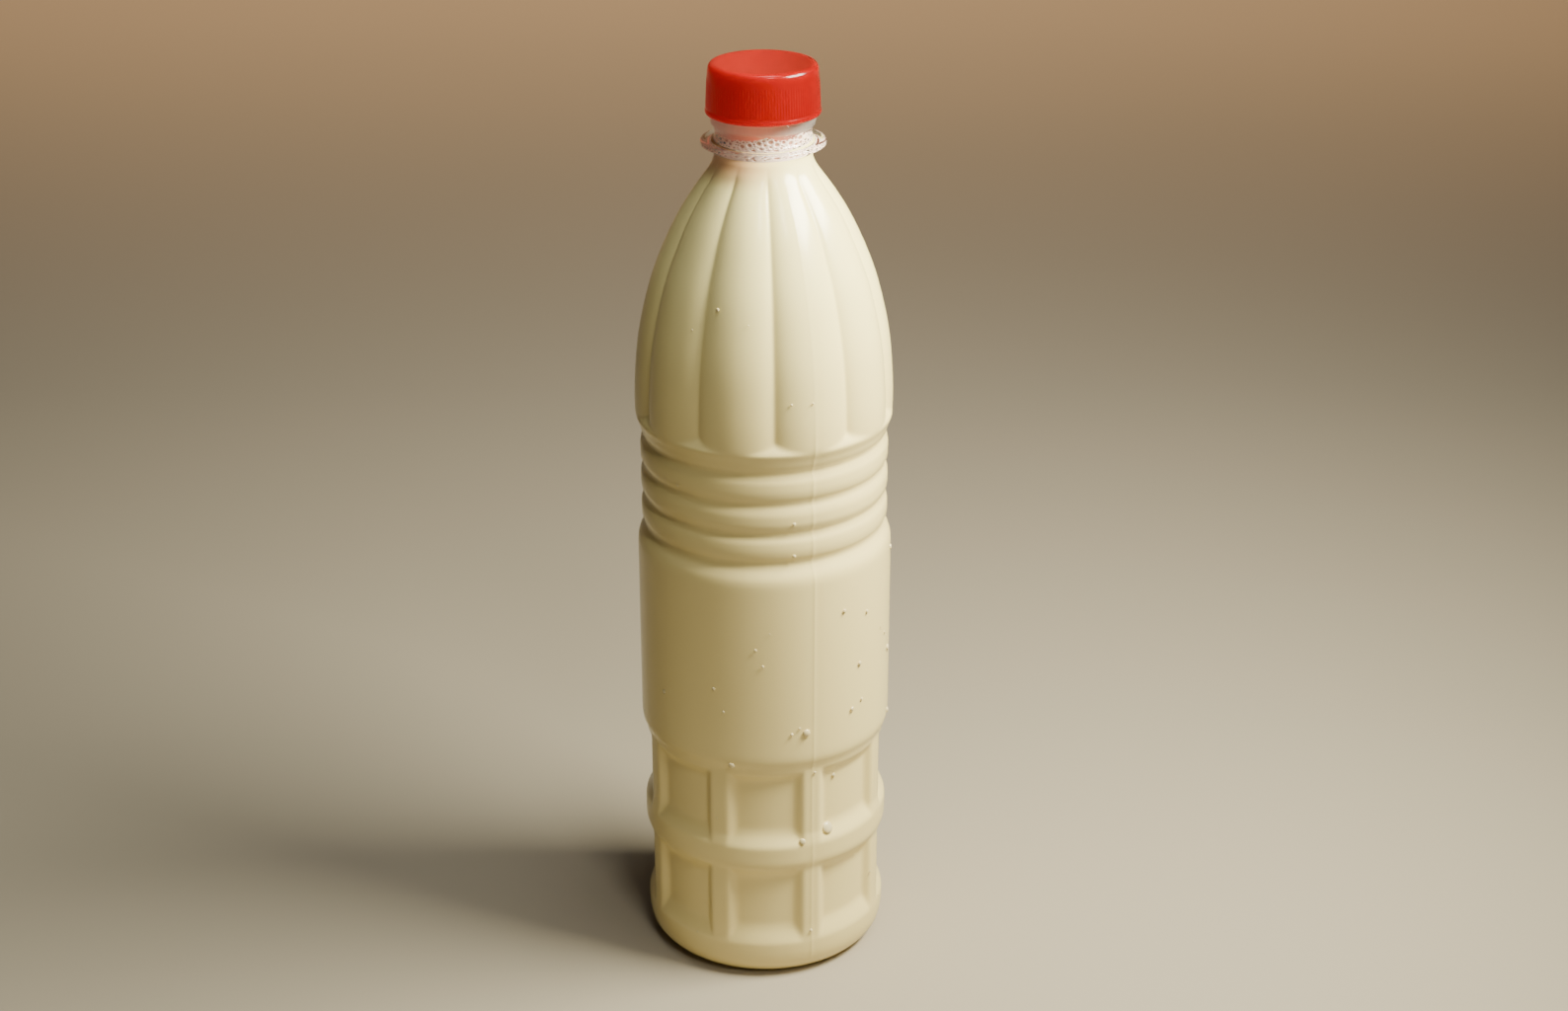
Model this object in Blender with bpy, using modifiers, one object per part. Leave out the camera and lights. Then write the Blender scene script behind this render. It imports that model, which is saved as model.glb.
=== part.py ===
"""Milk bottle: a clear plastic bottle with a fluted shoulder, three grip rings,
a plain label panel and two rows of windows, filled with milk up to the neck,
with froth on the milk and a screw cap. Metres, +Z up, standing at the origin."""

import math

import bmesh
import bpy

MM = 0.001

# turning: azimuth 0 looks to -Y, the mould line and the middle of a lobe,
# and of a rib, are at MOULD_AZIMUTH to the right of it
MOULD_AZIMUTH = 22.6
OUTER_COLUMNS = 80
INNER_COLUMNS = 40
CAP_COLUMNS = 40
FROTH_COLUMNS = 24

# walls and gaps
WALL = 0.7
GAP = 0.35
FLOOR_THICKNESS = 0.9
BORE_RADIUS = 10.85

# heights of the neck
MOUTH_Z = 254.6
NECK_TOP_RADIUS = 12.4
BEAD_RADIUS = 13.45
NECK_RADIUS = 12.75
SUPPORT_RING_RADIUS = 16.5

# fluted shoulder
LOBE_COUNT = 10
LOBE_TOP_Z = 232.0
LOBE_FADE_TOP = 6.0
LOBE_BOTTOM_Z = 161.6
LOBE_FADE_BOTTOM = 6.0
LOBE_DEPTH_RATIO = 0.046

# windows in the lower body
WINDOW_COUNT = 8
WINDOW_FLOOR_RADIUS = 32.0
RIB_RADIUS = 33.8
RIB_HALF_ANGLE = 4.6
FLOOR_START_ANGLE = 8.9
WINDOW_ROWS = ((62.2, 48.4), (30.8, 17.2))

# grip rings
GROOVE_HEIGHTS = (155.6, 146.9, 138.3, 129.8)
GROOVE_RADIUS = 32.55
RING_RADIUS = 33.75
GROOVE_HALF_WIDTH = 2.3

# filling
MILK_LEVEL = 233.8
FROTH_TOP = 240.2

# cap
CAP_TOP = 257.1
CAP_BOTTOM = 244.0
CAP_INNER_RADIUS = 12.95
CAP_CEILING = 254.95


def groove_rows():
    rows = []
    for height in GROOVE_HEIGHTS:
        rows.append((RING_RADIUS, height + GROOVE_HALF_WIDTH))
        rows.append((GROOVE_RADIUS, height))
        rows.append((RING_RADIUS, height - GROOVE_HALF_WIDTH))
    rows[0] = (33.9, 158.3)
    rows[-1] = (33.7, 127.8)
    return rows


NECK_PROFILE = [
    (NECK_TOP_RADIUS, MOUTH_Z),
    (NECK_TOP_RADIUS, 243.0),
    (BEAD_RADIUS, 242.5),
    (BEAD_RADIUS, 240.9),
    (NECK_RADIUS, 240.3),
    (NECK_RADIUS, 237.4),
    (SUPPORT_RING_RADIUS, 236.9),
    (SUPPORT_RING_RADIUS, 235.8),
    (12.85, 235.3),
    (12.85, 232.9),
]

SHOULDER_PROFILE = [
    (13.7, 230.4),
    (16.05, 227.3),
    (18.9, 223.0),
    (22.8, 216.6),
    (26.0, 210.0),
    (29.48, 201.3),
    (31.96, 192.4),
    (33.75, 183.5),
    (34.8, 173.5),
    (35.1, 166.5),
    (34.95, 162.6),
    (34.5, 160.2),
]

INNER_SHOULDER_ROWS = (1, 3, 5, 7, 9, 11)

PANEL_PROFILE = [
    (34.7, 125.9),
    (34.95, 123.4),
    (34.95, 70.8),
    (34.5, 68.8),
]

LOWER_PROFILE = [
    (33.9, 67.0),
    (RIB_RADIUS, 62.2),
    (RIB_RADIUS, 48.4),
    (34.2, 43.6),
    (34.5, 42.2),
    (34.5, 38.2),
    (34.1, 36.4),
    (RIB_RADIUS, 30.8),
    (RIB_RADIUS, 17.2),
    (34.1, 11.0),
]

HEEL_CENTRE_RADIUS = 27.0
HEEL_RADIUS = 7.0
HEEL_STEPS = 3


def heel_rows(radius):
    rows = []
    for step in range(HEEL_STEPS + 1):
        angle = math.radians(90.0 * step / HEEL_STEPS)
        across = HEEL_CENTRE_RADIUS + radius * math.cos(angle)
        rows.append((across, HEEL_RADIUS - radius * math.sin(angle)))
    return rows


def outer_profile():
    rows = [(0.0, MOUTH_Z)]
    rows += NECK_PROFILE
    rows += SHOULDER_PROFILE
    rows += groove_rows()
    rows += PANEL_PROFILE
    rows += LOWER_PROFILE
    rows += heel_rows(HEEL_RADIUS)
    rows.append((0.0, 0.0))
    return rows


def thin(rows, inset):
    """The rows moved in by the inset, radially."""
    return [(radius - inset, height) for radius, height in rows]


def inner_rows(inset):
    """The wall of the room inside, from the top of the shoulder to the floor."""
    rings = []
    for index, height in enumerate(GROOVE_HEIGHTS):
        rings.append((GROOVE_RADIUS, height))
        if index < len(GROOVE_HEIGHTS) - 1:
            middle = 0.5 * (height + GROOVE_HEIGHTS[index + 1])
            rings.append((RING_RADIUS - 0.1, middle))
    shoulder = [SHOULDER_PROFILE[index] for index in INNER_SHOULDER_ROWS]
    lower = [
        (RIB_RADIUS, 62.2),
        (RIB_RADIUS, 48.4),
        (34.3, 42.6),
        (34.3, 37.6),
        (RIB_RADIUS, 30.8),
        (RIB_RADIUS, 17.2),
        (34.0, 10.0),
    ]
    panel = [(34.8, 124.4), (34.9, 70.2)]
    return thin(shoulder + rings + panel + lower, inset)


def room_profile(inset, top_rows, floor_height):
    rows = list(top_rows)
    rows += inner_rows(inset)
    for across, height in heel_rows(HEEL_RADIUS - inset)[1:]:
        if height > floor_height + 0.6:
            rows.append((across, height))
    rows.append((HEEL_CENTRE_RADIUS - 0.6, floor_height))
    rows.append((0.0, floor_height))
    return rows


def ease(low, high, value):
    """A smooth step from 0 at low to 1 at high."""
    part = min(max((value - low) / (high - low), 0.0), 1.0)
    return part * part * (3.0 - 2.0 * part)


def fold(angle, count):
    """The angle from the middle of the nearest of count equal sectors, in degrees."""
    pitch = 360.0 / count
    turned = (angle - MOULD_AZIMUTH) % pitch
    return min(turned, pitch - turned)


def flute_depth(radius, height, angle):
    """How far a point of the shoulder lies below the crest of its lobe."""
    if height > LOBE_TOP_Z or height < LOBE_BOTTOM_Z:
        return 0.0
    share = fold(angle, LOBE_COUNT) / (180.0 / LOBE_COUNT)
    fade = ease(LOBE_TOP_Z, LOBE_TOP_Z - LOBE_FADE_TOP, height)
    if height < LOBE_BOTTOM_Z + LOBE_FADE_BOTTOM:
        fade = ease(LOBE_BOTTOM_Z, LOBE_BOTTOM_Z + LOBE_FADE_BOTTOM, height)
    return radius * LOBE_DEPTH_RATIO * share * share * fade


def window_depth(height, angle):
    """How far a point lies below the ribs, in the flat floors of the windows."""
    for top, bottom in WINDOW_ROWS:
        if bottom - 0.05 <= height <= top + 0.05:
            share = ease(RIB_HALF_ANGLE, FLOOR_START_ANGLE, fold(angle, WINDOW_COUNT))
            return (RIB_RADIUS - WINDOW_FLOOR_RADIUS) * share
    return 0.0


def collection(name):
    made = bpy.data.collections.new(name)
    bpy.context.scene.collection.children.link(made)
    return made


def material(name, colour, roughness, alpha=1.0, transmission=0.0):
    made = bpy.data.materials.new(name)
    made.use_nodes = True
    shader = made.node_tree.nodes["Principled BSDF"]
    shader.inputs["Base Color"].default_value = (*colour, 1.0)
    shader.inputs["Roughness"].default_value = roughness
    shader.inputs["Alpha"].default_value = alpha
    shader.inputs["Transmission Weight"].default_value = transmission
    made.diffuse_color = (*colour, alpha)
    return made


def turned(name, rows, columns, group):
    """A closed body turned from a profile that runs from the top to the bottom."""
    mesh = bpy.data.meshes.new(name)
    points = [(radius * MM, 0.0, height * MM) for radius, height in rows]
    edges = [(index, index + 1) for index in range(len(points) - 1)]
    mesh.from_pydata(points, edges, [])
    made = bpy.data.objects.new(name, mesh)
    group.objects.link(made)
    screw = made.modifiers.new("Turn", "SCREW")
    screw.axis = "Z"
    screw.angle = math.radians(360.0)
    screw.steps = columns
    screw.render_steps = columns
    screw.use_merge_vertices = True
    screw.merge_threshold = 0.00005
    screw.use_smooth_shade = False
    return made


def baked(thing, group, name):
    """The finished mesh of a turned body, as an object without modifiers."""
    bpy.context.view_layer.update()
    graph = bpy.context.evaluated_depsgraph_get()
    mesh = bpy.data.meshes.new_from_object(thing.evaluated_get(graph))
    made = bpy.data.objects.new(name, mesh)
    group.objects.link(made)
    bpy.data.objects.remove(thing)
    return made


def point_outward(mesh):
    work = bmesh.new()
    work.from_mesh(mesh)
    bmesh.ops.recalc_face_normals(work, faces=work.faces)
    if work.calc_volume(signed=True) < 0.0:
        bmesh.ops.reverse_faces(work, faces=work.faces)
    work.to_mesh(mesh)
    work.free()


def press_relief(mesh, inset):
    """Turn the columns to the mould line, then press in the flutes and windows."""
    turn = math.radians(MOULD_AZIMUTH - 90.0)
    for vertex in mesh.vertices:
        across = math.hypot(vertex.co.x, vertex.co.y)
        if across < 1e-7:
            continue
        angle = math.atan2(vertex.co.y, vertex.co.x) + turn
        azimuth = math.degrees(angle) + 90.0
        height = vertex.co.z / MM
        radius = across / MM
        depth = flute_depth(radius + inset, height, azimuth)
        depth += window_depth(height, azimuth)
        if radius < HEEL_CENTRE_RADIUS - 14.0:
            depth = 0.0
        placed = (radius - depth) * MM
        vertex.co.x = placed * math.cos(angle)
        vertex.co.y = placed * math.sin(angle)


def room_body(name, inset, top_rows, floor_height, group, source_group):
    rows = room_profile(inset, top_rows, floor_height)
    raw = turned(name + "_turned", rows, INNER_COLUMNS, source_group)
    made = baked(raw, group, name)
    press_relief(made.data, inset)
    point_outward(made.data)
    return made


def build_bottle(group, cutters):
    raw = turned("bottle_turned", outer_profile(), OUTER_COLUMNS, cutters)
    made = baked(raw, group, "bottle")
    press_relief(made.data, 0.0)
    point_outward(made.data)
    top_rows = [
        (0.0, MOUTH_Z + 2.0),
        (BORE_RADIUS, MOUTH_Z + 2.0),
        (BORE_RADIUS, 233.4),
        (12.0, 230.2),
    ]
    room = room_body("bottle_room", WALL, top_rows, FLOOR_THICKNESS, cutters, cutters)
    room.hide_render = True
    room.display_type = "WIRE"
    cut = made.modifiers.new("Hollow", "BOOLEAN")
    cut.operation = "DIFFERENCE"
    cut.solver = "EXACT"
    cut.object = room
    made.data.materials.append(material("clear_plastic", (0.93, 0.95, 0.94), 0.12, 0.35, 0.9))
    return made


def build_milk(group, cutters):
    radius = BORE_RADIUS - GAP
    top_rows = [
        (0.0, MILK_LEVEL),
        (radius, MILK_LEVEL),
        (12.0 - GAP - 0.1, 230.2),
    ]
    inset = WALL + GAP
    floor_height = FLOOR_THICKNESS + GAP
    made = room_body("milk", inset, top_rows, floor_height, group, cutters)
    made.data.materials.append(material("milk", (0.86, 0.79, 0.60), 0.35))
    return made


def build_froth(group, cutters):
    radius = BORE_RADIUS - GAP
    rows = [
        (0.0, FROTH_TOP - 2.2),
        (7.0, FROTH_TOP - 1.6),
        (radius - 0.8, FROTH_TOP - 0.2),
        (radius, FROTH_TOP - 0.7),
        (radius, MILK_LEVEL + 1.4),
        (radius, MILK_LEVEL + GAP),
        (0.0, MILK_LEVEL + GAP),
    ]
    raw = turned("froth_turned", rows, FROTH_COLUMNS, cutters)
    made = baked(raw, group, "froth")
    point_outward(made.data)
    made.data.materials.append(material("milk_froth", (0.88, 0.82, 0.74), 0.45))
    return made


def build_cap(group, cutters):
    outside = [
        (0.0, CAP_TOP),
        (13.1, CAP_TOP),
        (13.85, CAP_TOP - 0.35),
        (14.35, CAP_TOP - 1.3),
        (14.55, CAP_TOP - 2.9),
        (15.0, CAP_BOTTOM + 1.5),
        (15.15, CAP_BOTTOM + 1.0),
        (15.15, CAP_BOTTOM + 0.3),
        (14.9, CAP_BOTTOM),
        (0.0, CAP_BOTTOM),
    ]
    raw = turned("cap_turned", outside, CAP_COLUMNS, cutters)
    made = baked(raw, group, "cap")
    point_outward(made.data)
    inside = [
        (0.0, CAP_CEILING),
        (CAP_INNER_RADIUS, CAP_CEILING),
        (CAP_INNER_RADIUS + 0.1, CAP_BOTTOM + 1.4),
        (CAP_INNER_RADIUS + 0.6, CAP_BOTTOM - 1.0),
        (0.0, CAP_BOTTOM - 1.0),
    ]
    raw = turned("cap_room_turned", inside, CAP_COLUMNS, cutters)
    room = baked(raw, cutters, "cap_room")
    point_outward(room.data)
    room.hide_render = True
    room.display_type = "WIRE"
    cut = made.modifiers.new("Hollow", "BOOLEAN")
    cut.operation = "DIFFERENCE"
    cut.solver = "EXACT"
    cut.object = room
    made.data.materials.append(material("cap_red", (0.72, 0.05, 0.025), 0.35))
    return made


def build():
    for thing in list(bpy.data.objects):
        bpy.data.objects.remove(thing)
    parts = collection("milk_bottle")
    cutters = collection("cutters")
    build_bottle(parts, cutters)
    build_milk(parts, cutters)
    build_froth(parts, cutters)
    build_cap(parts, cutters)


build()
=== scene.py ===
import math

import bpy
import numpy as np
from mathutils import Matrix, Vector


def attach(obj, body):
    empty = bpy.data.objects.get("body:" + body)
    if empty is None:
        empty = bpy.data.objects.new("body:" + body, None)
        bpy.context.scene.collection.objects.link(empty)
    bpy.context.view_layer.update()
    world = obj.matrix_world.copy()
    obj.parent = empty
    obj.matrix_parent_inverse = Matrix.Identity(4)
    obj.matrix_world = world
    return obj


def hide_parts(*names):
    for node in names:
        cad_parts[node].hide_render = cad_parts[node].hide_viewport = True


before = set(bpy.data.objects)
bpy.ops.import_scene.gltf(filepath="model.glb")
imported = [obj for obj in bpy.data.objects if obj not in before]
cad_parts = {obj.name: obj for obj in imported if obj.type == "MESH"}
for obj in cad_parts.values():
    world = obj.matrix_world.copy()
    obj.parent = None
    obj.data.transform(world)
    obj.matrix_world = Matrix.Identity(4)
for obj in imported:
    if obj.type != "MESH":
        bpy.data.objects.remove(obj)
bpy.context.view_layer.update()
mm = 0.001


# small helpers for profiles, grids and meshes
def ease(low, high, value):
    # smooth step from 0 at low to 1 at high: 3t^2 - 2t^3
    t = np.clip((value - low) / (high - low), 0.0, 1.0)
    return t * t * (3.0 - 2.0 * t)


def softMin(a, b, reach):
    # smaller of two fields, with the corner between them rounded over reach
    h = np.clip(0.5 + 0.5 * (b - a) / reach, 0.0, 1.0)
    return b * (1.0 - h) + a * h - reach * h * (1.0 - h)


def foldAngle(azimuth, middle, count):
    # distance in degrees to the nearest of count equally spaced directions, one of them at middle
    pitch = 360.0 / count
    return np.abs(np.mod(azimuth - middle + 0.5 * pitch, pitch) - 0.5 * pitch)


def softenPath(points, step, reach):
    # polyline resampled every step, each point then a Gaussian mean over reach, ends held
    points = np.asarray(points, float)
    length = np.concatenate([[0.0], np.cumsum(np.hypot(*np.diff(points, axis=0).T))])
    count = int(length[-1] / step) + 2
    at = np.linspace(0.0, length[-1], count)
    fine = np.stack([np.interp(at, length, points[:, i]) for i in range(2)], axis=1)
    half = max(1, int(3.0 * reach / step))
    bell = np.exp(-0.5 * (np.arange(-half, half + 1) * step / reach) ** 2)
    bell /= bell.sum()
    ends = [2.0 * fine[:1] - fine[half:0:-1], fine, 2.0 * fine[-1:] - fine[-2 : -half - 2 : -1]]
    padded = np.concatenate(ends)
    soft = np.stack([np.convolve(padded[:, i], bell, mode="valid") for i in range(2)], axis=1)
    soft[0], soft[-1] = points[0], points[-1]
    return soft


def hermiteCurve(points, perSpan):
    # cubic through the points, each tangent a mean of the two chords there, the shorter counting more
    points = np.asarray(points, float)
    gaps = np.hypot(*np.diff(points, axis=0).T)
    slopes = np.diff(points, axis=0) / gaps[:, None]
    before, after = gaps[:-1, None], gaps[1:, None]
    inner = (slopes[:-1] * after + slopes[1:] * before) / (before + after)
    tangents = np.concatenate([slopes[:1], inner, slopes[-1:]])
    t = np.linspace(0.0, 1.0, perSpan, endpoint=False)[None, :, None]
    p0, p1 = points[:-1, None], points[1:, None]
    m0, m1 = tangents[:-1, None] * gaps[:, None, None], tangents[1:, None] * gaps[:, None, None]
    curve = (2 * t**3 - 3 * t**2 + 1) * p0 + (t**3 - 2 * t**2 + t) * m0
    curve = curve + (3 * t**2 - 2 * t**3) * p1 + (t**3 - t**2) * m1
    return np.concatenate([curve.reshape(-1, 2), points[-1:]])


def pickRows(path, count, bendWeight, extra=None):
    # rows spread along the path by its length, closer where it turns and where extra, by height, says so
    gaps = np.hypot(*np.diff(path, axis=0).T)
    heading = np.unwrap(np.arctan2(np.diff(path[:, 1]), np.diff(path[:, 0])))
    turn = np.abs(np.diff(heading, prepend=heading[0]))
    weight = gaps + bendWeight * np.convolve(turn, np.ones(9) / 9.0, mode="same")
    if extra is not None:
        weight = weight + extra(0.5 * (path[1:, 1] + path[:-1, 1])) * gaps
    total = np.concatenate([[0.0], np.cumsum(weight)])
    at = np.linspace(0.0, total[-1], count)
    return np.stack([np.interp(at, total, path[:, i]) for i in range(2)], axis=1)


def turned(radius, azimuth, z):
    # points round the upright axis, azimuth in degrees from the front towards the right
    turn = np.radians(azimuth)
    return np.stack([radius * np.sin(turn), -radius * np.cos(turn), z + 0.0 * turn], axis=-1)


def axisDistance(grid):
    return np.linalg.norm(grid[..., :2], axis=-1)


def withRadius(grid, radius):
    # the same points, each moved straight out or in to a new distance from the axis
    factor = radius / np.maximum(axisDistance(grid), 1e-6)
    return np.concatenate([grid[..., :2] * factor[..., None], grid[..., 2:]], axis=-1)


def meshFrom(name, points, faces):
    # smooth shaded mesh from points in metres, its object at the origin
    mesh = bpy.data.meshes.new(name)
    mesh.from_pydata(np.asarray(points, float).tolist(), [], faces)
    mesh.polygons.foreach_set("use_smooth", np.full(len(mesh.polygons), True))
    mesh.update()
    piece = bpy.data.objects.new(name, mesh)
    bpy.context.scene.collection.objects.link(piece)
    return piece


def signedVolume(points, faces):
    # sum of the tetrahedra from the origin to every face's triangles, below 0 where they face inwards
    total = 0.0
    for corners in faces:
        p = points[corners]
        for i in range(1, corners.shape[1] - 1):
            total += np.einsum("ij,ij->i", p[:, 0], np.cross(p[:, i], p[:, i + 1])).sum() / 6.0
    return total


def ringQuads(rings, columns):
    # quads between neighbouring rings of a grid, each ring closed on itself
    ring = np.arange(columns)
    after = np.roll(ring, -1)
    start = (np.arange(rings - 1) * columns)[:, None]
    quads = np.stack([start + ring, start + after, start + columns + after, start + columns + ring], axis=-1)
    return quads.reshape(-1, 4)


def closedShells(name, grids):
    # one closed surface for each grid of rings, in millimetres: the first and the last ring are drawn in to
    # one point each, joined by triangles to the ring beside it
    shells, rings, columns = grids.shape[:3]
    perShell = (rings - 2) * columns + 2
    middle = grids[:, 1:-1].reshape(shells, -1, 3)
    poles = np.stack([grids[:, 0].mean(axis=1), grids[:, -1].mean(axis=1)], axis=1)
    points = np.concatenate([middle, poles], axis=1)
    quads = ringQuads(rings - 2, columns)
    ring = np.arange(columns)
    after = np.roll(ring, -1)
    last = (rings - 3) * columns
    fans = np.concatenate([
        np.stack([np.full(columns, perShell - 2), after, ring], axis=-1),
        np.stack([np.full(columns, perShell - 1), last + ring, last + after], axis=-1),
    ])
    if signedVolume(points[0], [quads, fans]) < 0.0:
        quads, fans = quads[:, ::-1], fans[:, ::-1]
    shift = (np.arange(shells) * perShell)[:, None, None]
    faces = (quads + shift).reshape(-1, 4).tolist() + (fans + shift).reshape(-1, 3).tolist()
    return meshFrom(name, points.reshape(-1, 3) * mm, faces)


def keepField(piece, name, field):
    # a value for each point of a closed shell, in the same order, kept on the mesh for its material
    values = np.concatenate([field[1:-1].ravel(), [field[0].mean(), field[-1].mean()]])
    layer = piece.data.attributes.new(name, "FLOAT", "POINT")
    layer.data.foreach_set("value", values.astype(np.float32))


# shader helper: sockets that take plain arithmetic
class Wire:
    def __init__(self, paint, socket):
        self.paint = paint
        self.socket = socket

    def math(self, operation, first, second):
        return self.paint.node("ShaderNodeMath", {"operation": operation}, {0: first, 1: second})

    def __add__(self, other):
        return self.math("ADD", self, other)

    def __radd__(self, other):
        return self.math("ADD", other, self)

    def __sub__(self, other):
        return self.math("SUBTRACT", self, other)

    def __rsub__(self, other):
        return self.math("SUBTRACT", other, self)

    def __mul__(self, other):
        return self.math("MULTIPLY", self, other)

    def __rmul__(self, other):
        return self.math("MULTIPLY", other, self)

    def __truediv__(self, other):
        return self.math("DIVIDE", self, other)

    def clip(self):
        held = {"operation": "ADD", "use_clamp": True}
        return self.paint.node("ShaderNodeMath", held, {0: self, 1: 0.0})

    def rise(self, start, end):
        # straight ramp from 0 at start to 1 at end, held outside them
        return ((self - start) / (end - start)).clip()


class Paint:
    # one material, with a single way to add a node: settings first, then socket values or links
    def __init__(self, name):
        self.material = bpy.data.materials.new(name)
        self.material.use_nodes = True
        self.tree = self.material.node_tree
        self.tree.nodes.clear()
        self.output = self.tree.nodes.new("ShaderNodeOutputMaterial")

    def node(self, kind, settings=None, values=None, out=0):
        made = self.tree.nodes.new(kind)
        for key, value in (settings or {}).items():
            setattr(made, key, value)
        for key, value in (values or {}).items():
            socket = made.inputs[key]
            if isinstance(value, Wire):
                self.tree.links.new(value.socket, socket)
            elif socket.type == "RGBA":
                socket.default_value = (*value, 1.0)
            else:
                socket.default_value = value
        return Wire(self, made.outputs[out])

    def place(self):
        return self.node("ShaderNodeTexCoord", out="Object")

    def axis(self, where, number):
        # one coordinate of a place: 0 across, 1 back, 2 up
        return self.node("ShaderNodeSeparateXYZ", None, {"Vector": where}, out=number)

    def stretched(self, where, scale):
        return self.node("ShaderNodeMapping", None, {"Vector": where, "Scale": scale})

    def field(self, name):
        return self.node("ShaderNodeAttribute", {"attribute_name": name}, out="Fac")

    def noise(self, where, scale, detail, rough):
        values = {"Vector": where, "Scale": scale, "Detail": detail, "Roughness": rough}
        return self.node("ShaderNodeTexNoise", None, values)

    def mixColour(self, share, first, second):
        values = {0: share, 6: first, 7: second}
        return self.node("ShaderNodeMix", {"data_type": "RGBA"}, values, out=2)

    def bump(self, height, strength, distance):
        values = {"Strength": strength, "Distance": distance, "Height": height}
        return self.node("ShaderNodeBump", None, values)

    def principled(self, values):
        return self.node("ShaderNodeBsdfPrincipled", None, values)

    def finish(self, shader):
        self.tree.links.new(shader.socket, self.output.inputs["Surface"])
        return self.material


def wear(piece, material, slot, *nodes):
    # dress a piece, ride it on the root body and let it replace the solids that it stands for
    piece.data.materials.append(material)
    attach(piece, "root")
    if nodes:
        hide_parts(*nodes)


print("helpers ready")

# the bottle's form, in millimetres and degrees
bottleForm = {
    "columns": 300,
    "closerColumns": {"groove": (2.2, 1.6), "ribSide": (0.6, 3.0), "mould": (2.6, 1.0)},   # how much, degrees
    "rows": 262,
    "bendWeight": 0.55,     # how much closer the rows lie where the profile turns
    "busyHeights": ((8.0, 70.0, 1.6), (159.5, 166.0, 1.8)),   # windows and lobe feet, and how much closer
    "shoulderSpan": 8,      # points from one shoulder point to the next
    "pathStep": 0.05,
    "cornerReach": 0.28,    # how far the profile's corners are softened
    "neckFoot": 231.9,      # the neck above it is plain and round
    "footRadius": 26.0,     # the underside within it is plain, up to heelTop
    "heelTop": 5.0,
    "mouldAzimuth": 22.6,   # mould line, right of the middle of the front
    "seam": 0.09,           # height and half width of the mould line
    "seamWidth": 0.32,
    "seamFoot": (1.0, 6.0),
    "seamFades": ((158.0, 175.0, 0.7), (222.0, 230.0, 0.3)),   # from, to, share lost on the shoulder
    "mmPerDegree": 0.6,     # round the body
    "lobes": 10,
    "lobeDepth": 0.041,     # share of the radius, for the whole arc of a lobe
    "creaseDepth": 0.011,   # and for the steeper last stretch beside the groove
    "lobeRound": 0.035,     # rounding of the groove between two lobes
    "lobeFoot": (161.6, 164.4),   # heights between which a lobe steps out to the rim
    "lobeCorner": 0.16,
    "lobeTop": (226.5, 232.5),    # and those between which it fades into the neck
    "windows": 8,
    "windowFloor": 31.95,
    "windowRows": ((66.6, 62.6, 48.6, 43.2), (36.2, 31.4, 17.6, 11.8)),   # top, floor from, floor to, foot
    "windowCorner": 0.22,
    "windowEdge": -0.12,    # how far outside its frame a window begins to sink
    "ribTop": 4.3,          # half the flat top of a rib
    "ribFoot": 8.6,
    "ribMiddle": 6.5,       # about the middle of its sloping side
}

# the profile from the mouth down, as radius and height
neckPoints = [
    (12.4, 254.6), (12.4, 245.0), (12.7, 244.3), (13.3, 243.7), (13.85, 242.9), (13.95, 242.2),
    (13.75, 241.4), (13.2, 240.9), (12.85, 240.5), (12.75, 239.8), (12.75, 237.5), (13.1, 237.1),
    (16.2, 236.95), (16.55, 236.6), (16.55, 235.95), (16.2, 235.6), (13.2, 235.4), (12.85, 235.0),
    (12.85, 233.2),
]
shoulderPoints = [
    (12.85, 233.2), (13.15, 231.6), (14.05, 229.7), (16.05, 227.0), (18.9, 223.0), (22.8, 216.6),
    (26.0, 210.0), (29.48, 201.3), (31.96, 192.4), (33.75, 183.5), (34.75, 173.5), (35.05, 167.0),
    (35.05, 163.6),
]
rimPoints = [(35.0, 162.2), (34.75, 160.9), (34.2, 159.6)]
bandForm = {
    "top": 158.6,
    "foot": 127.4,
    "step": 0.1,
    "radius": 33.85,
    "hollow": 0.05,         # how much less the radius is in the middle of a ring
    "halfPitch": 4.3,
    "grooves": (155.6, 146.9, 138.3, 129.8),
    "grooveDepth": 1.3,
    "grooveWidth": 1.35,
}
panelPoints = [
    (34.35, 126.7), (34.85, 125.2), (34.98, 123.4), (34.98, 71.4), (34.85, 70.0), (34.3, 68.6), (33.85, 67.2),
]
basePoints = [
    (33.8, 48.6), (33.8, 46.5), (34.45, 43.3), (34.5, 42.0), (34.5, 38.4), (34.4, 37.2), (33.8, 35.0),
    (33.8, 16.0), (33.95, 12.6), (34.1, 11.2), (34.1, 9.6), (34.0, 7.0), (33.47, 4.32), (31.95, 2.05),
    (29.68, 0.53), (27.6, 0.0), (24.0, 0.0), (22.5, 0.35), (17.0, 1.1), (8.0, 1.3), (0.0, 1.3),
]


def grooveBand():
    # rounded rings between four grooves: a radius that falls with the square of the distance to the nearest
    # groove, less a bell-shaped dip at each groove
    f = bandForm
    z = np.arange(f["top"], f["foot"], -f["step"])
    away = np.min(np.abs(z[:, None] - np.array(f["grooves"])[None, :]), axis=1)
    dip = np.exp(-((away / f["grooveWidth"]) ** 2))
    radius = f["radius"] - f["hollow"] * (away / f["halfPitch"]) ** 2 - f["grooveDepth"] * dip
    return np.stack([radius, z], axis=1)


def bodyPath():
    # all stretches of the profile in a row, without points that fall together
    shoulder = hermiteCurve(shoulderPoints, bottleForm["shoulderSpan"])
    parts = [neckPoints, shoulder, rimPoints, grooveBand(), panelPoints, basePoints]
    whole = np.concatenate([np.array(part) for part in parts])
    gaps = np.hypot(*np.diff(whole, axis=0).T)
    return whole[np.concatenate([[True], gaps > 1e-6])]


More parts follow.
